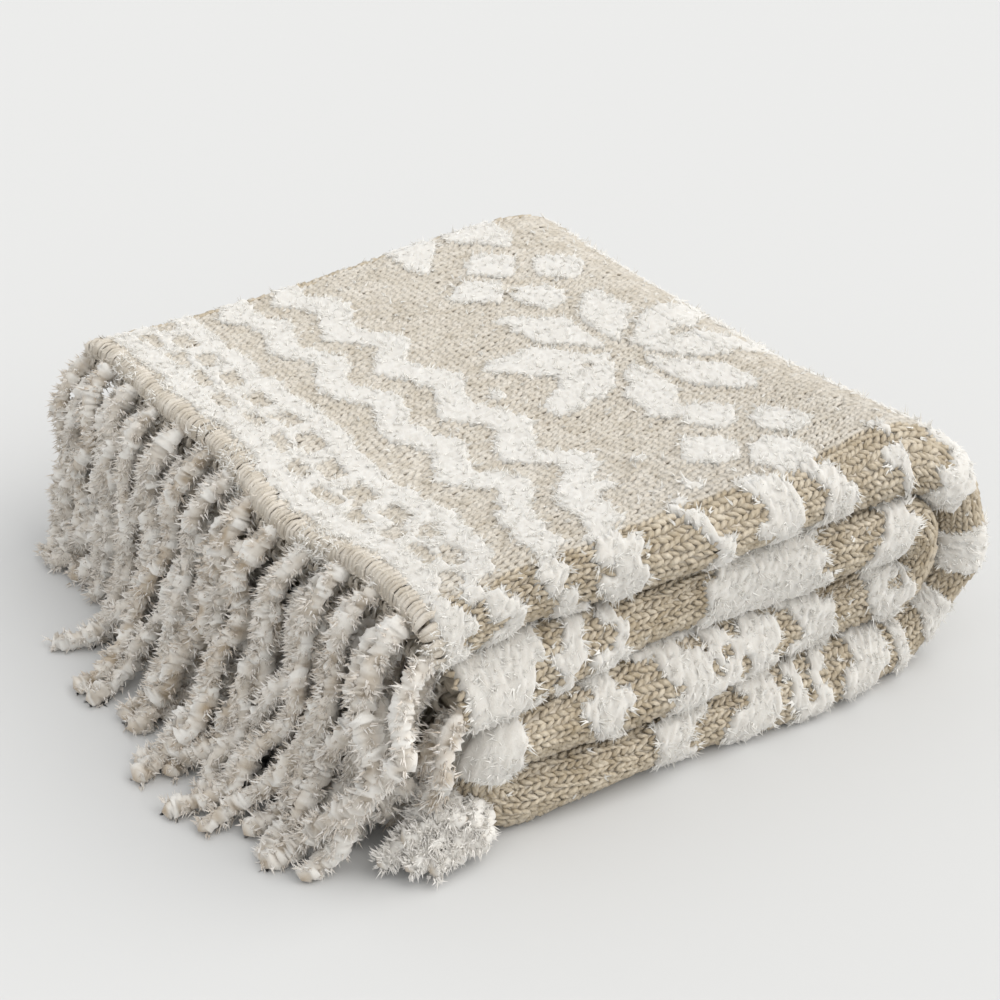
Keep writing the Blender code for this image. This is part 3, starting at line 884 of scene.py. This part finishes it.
def ribbed(name, end, outward, bare, look):
    """The ribs along one end of the throw, but for a stretch that its pile hides."""
    lip, inner = WIDTH_AT["front_lip"], WIDTH_AT["inner_flap"]
    w = np.concatenate((
        np.arange(RIB_FIRST["under_flap"], lip, RIB_HIDDEN),
        np.arange(lip + RIB_FIRST["front_lip"], inner, RIB),
        np.arange(inner + RIB_FIRST["inner_flap"], THROW_WIDTH - RIB_LAST, RIB_HIDDEN)))
    w = w[(w < bare[0]) | (w > bare[1])]
    shows = (w > lip) & (w < inner)
    size = np.where(shows[:, None], (1.0, 1.0), RIB_SMALL)[:, None] * RIB_PATH[:, :2]
    size = size * (1 + RIB_UNEVEN[0] * rng.normal(0, 1, (len(w), 1, 1)).clip(*STRAY_LIMITS))
    ahead = unit(np.gradient(RIB_PATH[:, :2], axis=0))
    away = np.stack((-ahead[:, 1], ahead[:, 0]), -1)
    around = np.radians(np.arange(RIB_SIDES) * 360 / RIB_SIDES)
    thick = 1 + RIB_UNEVEN[1] * rng.normal(0, 1, (len(w), 1, 1))
    thick = thick + RIB_UNEVEN[2] * rng.normal(0, 1, (len(w), len(RIB_PATH), RIB_SIDES))
    thick = RIB_THICK / 2 * RIB_PATH[:, 2, None] * thick
    out = size[:, :, None, 0] + away[:, None, 0] * thick * np.cos(around)
    up = size[:, :, None, 1] + away[:, None, 1] * thick * np.cos(around)
    lean = RIB_SLANT * np.linspace(0.5, -0.5, len(RIB_PATH))[:, None]
    across = w[:, None, None] + lean + thick * np.sin(around)
    across = across + rng.normal(0, RIB_STRAY, (len(w), 1, 1))
    place = np.stack((end + outward * out, across, up), -1)
    points = folded(place.reshape(len(w), -1, 3))
    faces = rib_faces()[:, ::-1] if outward > 0 else rib_faces()
    turns = RIB_TWIST * np.repeat(np.arange(len(RIB_PATH)), RIB_SIDES)
    rounds = np.tile(around, len(RIB_PATH))
    twist = np.stack((turns, np.cos(rounds), np.sin(rounds)), -1)
    return dressed(joined(name, points, faces, twist), name, look)


def fuzz_on(wound, kind, look):
    """Stray hairs or flecks of fluff all over the outer side of a wound edge."""
    share, fibres, long, wide, stray = FUZZ[kind]
    name = wound.name + "_" + kind
    at, normals = (at_points(wound.data, value)[::RIB_SIDES] for value in ("co", "normal"))
    in_tufts = rise(0.0, 0.9, np.sin(FLECKED[0] * at[:, 1]) + np.sin(FLECKED[1] * at[:, 1]))
    kept = rng.random(len(at)) < share * (1 if kind == "hairs" else in_tufts)
    at, normals = at[kept].repeat(fibres, 0), normals[kept].repeat(fibres, 0)
    roots = at - FUZZ_DEEP * normals + rng.normal(0, stray, at.shape)
    ways = unit(FUZZ_OUT[0] * normals + rng.normal(0, FUZZ_OUT[1], at.shape))
    tips = roots + ways * rng.uniform(*long, (len(at), 1))
    points, faces = fibres_at(roots, tips, wide, normals)
    points[..., 2] = np.maximum(points[..., 2], LOWEST)
    return dressed(joined(name, points, faces), name, look, fibres=True)


# The greige yarn again, rubbed paler on the roll, and its loose hairs, as matt as feather yarn
cast_off = two_ply_yarn("greige_cast_off_yarn", "#BCB2A2", "#E0D9CE")
hairs = feather_yarn("greige_yarn_hairs", "#CAC1B3", "#DFD9CE", 0.0)
lip_start, lip_end = WIDTH_AT["front_lip"], WIDTH_AT["centre_panel"]
upper_bare = (lip_start, lip_start + RIB_BARE_UPPER)
lower_bare = (lip_start - RIB_BARE_LOWER[0], lip_end + RIB_BARE_LOWER[1])
edges = [ribbed("rolled_edge_upper", 0.0, -1, upper_bare, cast_off),
         ribbed("rolled_edge_lower", THROW_LENGTH, 1, lower_bare, cast_off)]
edges += [fuzz_on(wound, kind, fluff) for wound in edges[:2]
          for kind, fluff in (("hairs", hairs), ("flecks", feather_fibre))]

# --- The fringes ----------------------------------------------------------------------------------
# Strands of feather yarn on a greige core, knotted in under the rolled edges. They hang down the
# stack's end to the surface, where their tips lie in all directions.
FALLS = {
    # lane      x of the fall   bend                foot
    "outer":  (-0.2145,         (-0.247, 0.008),    (-0.278, 0.0050)),
    "middle": (-0.2035,         (-0.224, 0.012),    (-0.243, 0.0050)),
    "inner":  (-0.1915,         (-0.193, 0.020),    (-0.195, 0.0050)),
}
STRANDS = 12                # along one flat run of the cloth's edge
ROOT_SHARE = 0.25           # a strand's root lies so far into its step of the edge,
UNDER_SHARE = {"fringe_upper": 0.25, "fringe_lower": 0.75}      # and so far on the under flap
ROOT_OUT = 0.002            # past the end of the cloth
BACK_CORNER = 0.17          # from here on the back folds hold the strands in
BACK_REACH = (0.60, 0.07, 0.14)     # the strands at the back reach out so much less, from y to y,
FRONT_REACH = (0.30, -0.16, -0.22)  # and so do those at the front corner
SWAY = 0.004                # how far the feet drift sideways,
SWAY_TURNS = 15             # in radians per metre along the fringe
BEND_SWAY = 0.8             # share of it at the bend
CORNER_SWAY = (0.028, 0.0, -0.22)   # the front corner's fall back under the edge, from y to y
STRAY_REACH = 0.18          # each strand strays by itself: a share of its reach,
STRAY_SWAY = 0.014          # sideways,
STRAY_FALL = (0.0025, 0.007)        # where its fall begins, out and sideways,
STRAY_LEAN = 0.022          # in its lean on the way down,
STRAY_FOOT = 0.006          # and at its foot
SHOULDER = 1.7              # it turns down over this height, for each length that it goes out,
SHOULDER_LEAVE = (0.6, 0.25)        # leaves its root so far out and down before it does,
SHOULDER_ARRIVE = 0.8
SHOULDER_STEPS = 12
FALL_LEAVE = (0.42, 0.35)   # and hangs straight for such shares of its way out and down
FALL_STEPS = 30
STRAND_THICK = 0.0079       # radius where its matted flakes stand out most
STRAND_SIDES = 8
KNOT_UNDER = 0.0035         # how far its knot lies under the middle of the rolled edge
STRAND_STEP = 0.0015        # from one ring of its surface to the next
STRAND_FLAKE = (4, 2)       # rings and sides to a flake
STRAND_CORE = 0.54          # share of that radius where no flake covers the core
STRAND_ROUGH = 0.12
ROUGH_LIMITS = (-2, 2)
STRAND_UNEVEN = (0.10, 0.027)   # share of its thickness, and how long it is from thick to thick
STRAND_SIZES = (0.85, 1.1)      # from one strand to the next
STRAND_WHITES = (0.0, 0.5)
STRAND_WAVY = (0.0022, 0.0032)      # x and y,
STRAND_TURNS = (22, 4)          # in so many radians from its root to its foot, more or less,
STRAND_TURNS_Y = 0.8            # and this share of them sideways
STRAND_PHASES = (3, 5)
STRAND_START, STRAND_TAPER = 0.75, 0.012    # it is thinner where it leaves the edge
STRAND_RAGGED = 0.0005      # how far its points stray along it
STRAND_TIP = 0.003          # from its last ring to the point that closes it
STRAND_SOFT = 0.8           # its own surface's share in its shading
STRAND_WISPS = 2            # at each ring, and three times as many where the strands bunch up
STRAND_FIBRES = 4           # in each wisp
STRAND_COMBED = 0.7         # share of the wisps that point away from the stack
STRAND_WISP_SPREAD = 0.34
STRAND_WISP_AHEAD = 0.25
STRAND_WISP_ROOT = 0.75     # share of the strand's radius
STRAND_FIBRE_ROOTS = 0.0007
STRAND_FIBRE_WIDE = 0.0014
STRAND_FIBRE_LONG = (0.0026, 0.0064)
BUNCH_THICK = 0.95
BUNCH_WHITE = 0.9
BUNCH_TIMES = 3             # as many wisps as a strand has
BUNCHES = (
    # where the ends of some strands bunch up at the foot of the front corner
    ((-0.150, -0.184, 0.050), (-0.160, -0.197, 0.034), (-0.172, -0.206, 0.018),
     (-0.196, -0.202, 0.009)),
    ((-0.134, -0.197, 0.032), (-0.138, -0.214, 0.024), (-0.152, -0.221, 0.013),
     (-0.176, -0.222, 0.009)),
    ((-0.146, -0.192, 0.034), (-0.146, -0.210, 0.034), (-0.160, -0.214, 0.022),
     (-0.186, -0.214, 0.009)),
    ((-0.130, -0.200, 0.018), (-0.132, -0.224, 0.018), (-0.152, -0.226, 0.012),
     (-0.160, -0.208, 0.012)),
    ((-0.158, -0.186, 0.030), (-0.164, -0.200, 0.024), (-0.164, -0.212, 0.030),
     (-0.150, -0.216, 0.028)),
    ((-0.140, -0.200, 0.012), (-0.150, -0.214, 0.028), (-0.164, -0.210, 0.026),
     (-0.182, -0.206, 0.022)),
    ((-0.136, -0.206, 0.026), (-0.142, -0.214, 0.034), (-0.150, -0.216, 0.020),
     (-0.140, -0.222, 0.009)),
)


def bezier(points, count):
    """Points along a cubic curve."""
    t = np.linspace(0, 1, count)[:, None]
    start, leave, arrive, end = points
    return ((1 - t) ** 3 * start + 3 * (1 - t) ** 2 * t * leave
            + 3 * (1 - t) * t * t * arrive + t ** 3 * end)


def strand_route(root, lane, stray):
    """A strand's line in the even stack: over from its root, down its lane and out to its foot."""
    fall_x, (bend_x, bend_z), (foot_x, foot_z) = FALLS[lane]
    x, y, z = root
    if y > BACK_CORNER:
        stray[1:4] = -np.abs(stray[1:4])
    in_reach, sideways, at_fall, in_lean, outwards = stray
    out = x - fall_x
    reach = 1 - BACK_REACH[0] * rise(*BACK_REACH[1:], y) - FRONT_REACH[0] * rise(*FRONT_REACH[1:], y)
    reach *= 1 + STRAY_REACH * in_reach
    sway = SWAY * math.sin(SWAY_TURNS * y) + CORNER_SWAY[0] * rise(*CORNER_SWAY[1:], y)
    sway += STRAY_SWAY * sideways
    start = np.array((fall_x + STRAY_FALL[0] * outwards, y + STRAY_FALL[1] * at_fall,
                      z - SHOULDER * out))
    leave = root - (SHOULDER_LEAVE[0] * out, 0, SHOULDER_LEAVE[1] * out)
    shoulder = bezier((root, leave, start + (0, 0, SHOULDER_ARRIVE * out), start), SHOULDER_STEPS)
    bend = np.array((fall_x + reach * (bend_x - fall_x), y + BEND_SWAY * sway, bend_z))
    fall = np.array((FALL_LEAVE[0] * (fall_x - bend[0]), STRAY_LEAN * in_lean,
                     FALL_LEAVE[1] * (start[2] - bend_z)))
    foot = np.array((fall_x + reach * (foot_x - fall_x), y + sway + STRAY_FOOT * in_lean, foot_z))
    route = np.concatenate((shoulder[:-1], bezier((start, start - fall, bend, foot), FALL_STEPS)))
    turns = np.linspace(0, 1, len(route)) * (STRAND_TURNS[0] + STRAND_TURNS[1] * outwards)
    grown = np.clip(np.linspace(0, 4, len(route)), 0, 1)        # waves begin in its first quarter
    phase_x, phase_y = STRAND_PHASES[0] * at_fall, STRAND_PHASES[1] * sideways
    route[:, 0] += STRAND_WAVY[0] * grown * np.sin(turns + phase_x)
    route[:, 1] += STRAND_WAVY[1] * grown * np.sin(STRAND_TURNS_Y * turns + phase_y)
    return route


def even_steps(route, step):
    """Points every step along a line, and the direction at each."""
    at = np.concatenate(((0,), np.cumsum(np.linalg.norm(np.diff(route, axis=0), axis=1))))
    stops = np.arange(0, at[-1], step)
    points = np.stack([np.interp(stops, at, axis) for axis in route.T], -1)
    return points, unit(np.gradient(points, axis=0))


def fringe_roots(under_share):
    """Where the strands leave the cloth's edge, across it, and whether on the under flap."""
    found = []
    for run, length, radius, _ in WIDTH_RUNS:
        under = run == "under_flap"
        if length is None:
            count, share = 1, 0.5       # one in the middle of a fold
        else:
            count, share = STRANDS, under_share if under else ROOT_SHARE
        found += [(WIDTH_AT[run] + (number + share) / count * run_length(length, radius), under)
                  for number in range(count)]
    return found


def tube_faces(rings, sides):
    """Triangles of a tube that a point closes at each end: its two end points, then its rings."""
    side = np.arange(sides)
    after, start = (side + 1) % sides, 2 + sides * np.arange(rings - 1)[:, None]
    wall = np.stack((start + side, start + after, start + after + sides,
                     start + side, start + after + sides, start + side + sides), -1)
    last = 2 + sides * (rings - 1)
    caps = np.stack((side * 0, after + 2, side + 2, side * 0 + 1, last + side, last + after), -1)
    return np.concatenate((wall.reshape(-1, 3), caps.reshape(-1, 3)))


def strand_body(middles, aheads, thick, white):
    """A crumpled tube along a strand, the ways out of it, and how white each point is."""
    side = unit(np.cross(aheads, (0.0, 1.0, 0.02)))     # no strand runs just this way
    other = np.cross(aheads, side)
    around = np.linspace(0, math.tau, STRAND_SIDES, endpoint=False)[:, None]
    spokes = np.cos(around) * side[:, None] + np.sin(around) * other[:, None]
    rings, sides = STRAND_FLAKE
    number = np.arange(STRAND_SIDES) // sides
    begun = np.arange(len(middles))[:, None] + rng.integers(0, rings, number.max() + 1)[number]
    flakes = rng.random((len(middles) // rings + 2, number.max() + 1))[begun // rings, number]
    rough = STRAND_ROUGH * rng.normal(0, 1, flakes.shape).clip(*ROUGH_LIMITS)
    radius = thick[:, None] * (STRAND_CORE + (1 - STRAND_CORE) * flakes + rough)
    stray = STRAND_RAGGED * rng.normal(0, 1, (*flakes.shape, 1)).clip(*STRAY_LIMITS)
    rings = middles[:, None] + radius[..., None] * spokes + stray * aheads[:, None]
    ends = middles[[0, -1]] + aheads[[0, -1]] * np.array(((-STRAND_TIP,), (STRAND_TIP,)))
    # The deeper a point lies, the greiger and darker: the core's own colour and painted shade in the
    # hollows
    return (np.concatenate((ends, rings.reshape(-1, 3))),
            np.concatenate((aheads[[0, -1]] * ((-1,), (1,)), spokes.reshape(-1, 3))),
            np.concatenate(((0, 0), (white + (1 - white) * (flakes + rough)).ravel())).clip(0, 1))


def strand_wisps(name, middles, aheads, thicks, whites):
    """Wisps of fibres at these points along the strands, most of them away from the stack."""
    ahead = aheads[:, None, None]
    leans = rng.normal(0, 1, (len(middles), STRAND_WISPS, 1, 3))
    leans -= np.sum(leans * ahead, -1, keepdims=True) * ahead
    combed = rng.random(leans.shape[:3]) < STRAND_COMBED
    leans[..., 0] = np.where(combed, -np.abs(leans[..., 0]), leans[..., 0])
    leans = unit(leans)
    spread = (len(middles), STRAND_WISPS, STRAND_FIBRES, 3)
    ways = unit(leans + rng.normal(0, STRAND_WISP_SPREAD, spread) + STRAND_WISP_AHEAD * ahead)
    roots = (middles[:, None, None] + leans * thicks[:, None, None, None] * STRAND_WISP_ROOT
             + rng.normal(0, STRAND_FIBRE_ROOTS, spread))
    tips = roots + ways * rng.uniform(*STRAND_FIBRE_LONG, (*spread[:3], 1))
    points, faces = fibres_at(roots.reshape(-1, 3), tips.reshape(-1, 3), STRAND_FIBRE_WIDE,
                              (0, 0, 1))
    points[..., 2] = np.maximum(points[..., 2], LOWEST)
    whites = whites.repeat(STRAND_WISPS * STRAND_FIBRES)
    shades = whites + (1 - whites) * rng.random(len(whites))
    return dressed(joined(name, points, faces, shades=shades), name, fringe_fibre,
                   fibres=True)


def fringed(name, end, outward, lanes, bunches):
    """The strands along one end of the throw and their wisps."""
    routes = []
    for w, under in fringe_roots(UNDER_SHARE[name]):
        root = stacked(end + outward * ROOT_OUT, w, 0.0).ravel() - (0, 0, KNOT_UNDER)
        stray = rng.normal(0, 1, 5).clip(*STRAY_LIMITS)
        route = settled(strand_route(root, lanes[0] if under else lanes[1], stray))
        routes.append((route, rng.uniform(*STRAND_SIZES), rng.uniform(*STRAND_WHITES), 1))
    routes += [(bezier(np.array(points), FALL_STEPS), BUNCH_THICK, BUNCH_WHITE, BUNCH_TIMES)
               for points in bunches]
    bodies, cores, points_before = [], [], 0
    for route, size, white, times in routes:
        points, ahead = even_steps(route, STRAND_STEP)
        at = np.arange(len(points)) * STRAND_STEP
        thick = size * STRAND_THICK * np.interp(at, (0, STRAND_TAPER), (STRAND_START, 1))
        thick *= 1 + STRAND_UNEVEN[0] * np.sin(math.tau * (at / STRAND_UNEVEN[1] + rng.random()))
        body, soft, shades = strand_body(points, ahead, thick, white)
        bodies.append((body, soft, shades, tube_faces(len(points), STRAND_SIDES) + points_before))
        points_before += len(body)
        core = (points, ahead, thick, np.full(len(points), white))
        cores.append([values.repeat(times, 0) for values in core])
    body, soft, shades, faces = (np.concatenate(found) for found in zip(*bodies))
    body[:, 2] = np.maximum(body[:, 2], LOWEST)
    base = dressed(mesh_of(name + "_base", body, faces, shades), name + "_base", fringe_feather,
                   soft, STRAND_SOFT)
    fibres = strand_wisps(name + "_fibres", *(np.concatenate(found) for found in zip(*cores)))
    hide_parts(name)
    return [base, fibres]


# Greige where the core shows and darker the deeper it lies, partly the core's own colour and partly
# painted shade in the hollows, and off-white on the flakes and the wisps
fringe_feather = feather_yarn("feather_yarn_fringe", "#B3A38D", "#E6E3DD", 0.0)
fringe_fibre = feather_yarn("feather_yarn_fringe_fibre", "#C0B3A2", "#EAE7E2", 0.0)
fringes = fringed("fringe_upper", 0.0, -1, ("middle", "outer"), ())
fringes += fringed("fringe_lower", THROW_LENGTH, 1, ("middle", "inner"), BUNCHES)

# --- The studio -----------------------------------------------------------------------------------
# A plain pale floor of matt paper and soft light from the right, with the camera as in the
# photograph.
CAMERA_AT = Vector((-0.5929, -0.8766, 0.6900))
CAMERA_HEADING = math.radians(54.8)     # from +X, about +Z
CAMERA_PITCH = math.radians(30.2)
CAMERA_LENS = 67.97         # millimetres, and so is the sensor
CAMERA_SENSOR = 36.0
FLOOR_HALF = 9.0
KEY_FROM = (1.8, -1.2, 2.1)
KEY_SPREAD = math.radians(60)
KEY_STRENGTH = 1.85
SKY_STRENGTH = 1.02

bm = bmesh.new()
bmesh.ops.create_grid(bm, x_segments=1, y_segments=1, size=FLOOR_HALF)
floor_mesh = bpy.data.meshes.new("floor")
bm.to_mesh(floor_mesh)
bm.free()
floor = bpy.data.objects.new("floor", floor_mesh)
bpy.context.scene.collection.objects.link(floor)
paper, _, _ = new_material("studio_paper", {"Base Color": hex_rgba("#CDCDCC"), "Roughness": 0.9})
floor_mesh.materials.append(paper)

world = bpy.data.worlds.new("studio")
world.use_nodes = True
world.node_tree.nodes["Background"].inputs["Color"].default_value = hex_rgba("#F6F7F8")
world.node_tree.nodes["Background"].inputs["Strength"].default_value = SKY_STRENGTH
bpy.context.scene.world = world
bpy.context.scene.view_settings.view_transform = "Standard"

key = bpy.data.lights.new("key", "SUN")
key.angle = KEY_SPREAD
key.energy = KEY_STRENGTH
key.color = hex_rgba("#FFFDFA")[:3]
lamp = bpy.data.objects.new("key", key)
lamp.rotation_euler = Vector(KEY_FROM).to_track_quat("Z", "Y").to_euler()
bpy.context.scene.collection.objects.link(lamp)

heading = Vector((math.cos(CAMERA_HEADING), math.sin(CAMERA_HEADING), 0))
right = heading.cross(Vector((0, 0, 1)))
ahead = math.cos(CAMERA_PITCH) * heading - math.sin(CAMERA_PITCH) * Vector((0, 0, 1))
up = right.cross(ahead)
camera = bpy.data.objects.new("camera", bpy.data.cameras.new("camera"))
camera.data.lens = CAMERA_LENS
camera.data.sensor_width = CAMERA_SENSOR
camera.matrix_world = Matrix.Translation(CAMERA_AT) @ Matrix(
    (right, up, -ahead)).transposed().to_4x4()
bpy.context.scene.collection.objects.link(camera)
bpy.context.scene.camera = camera
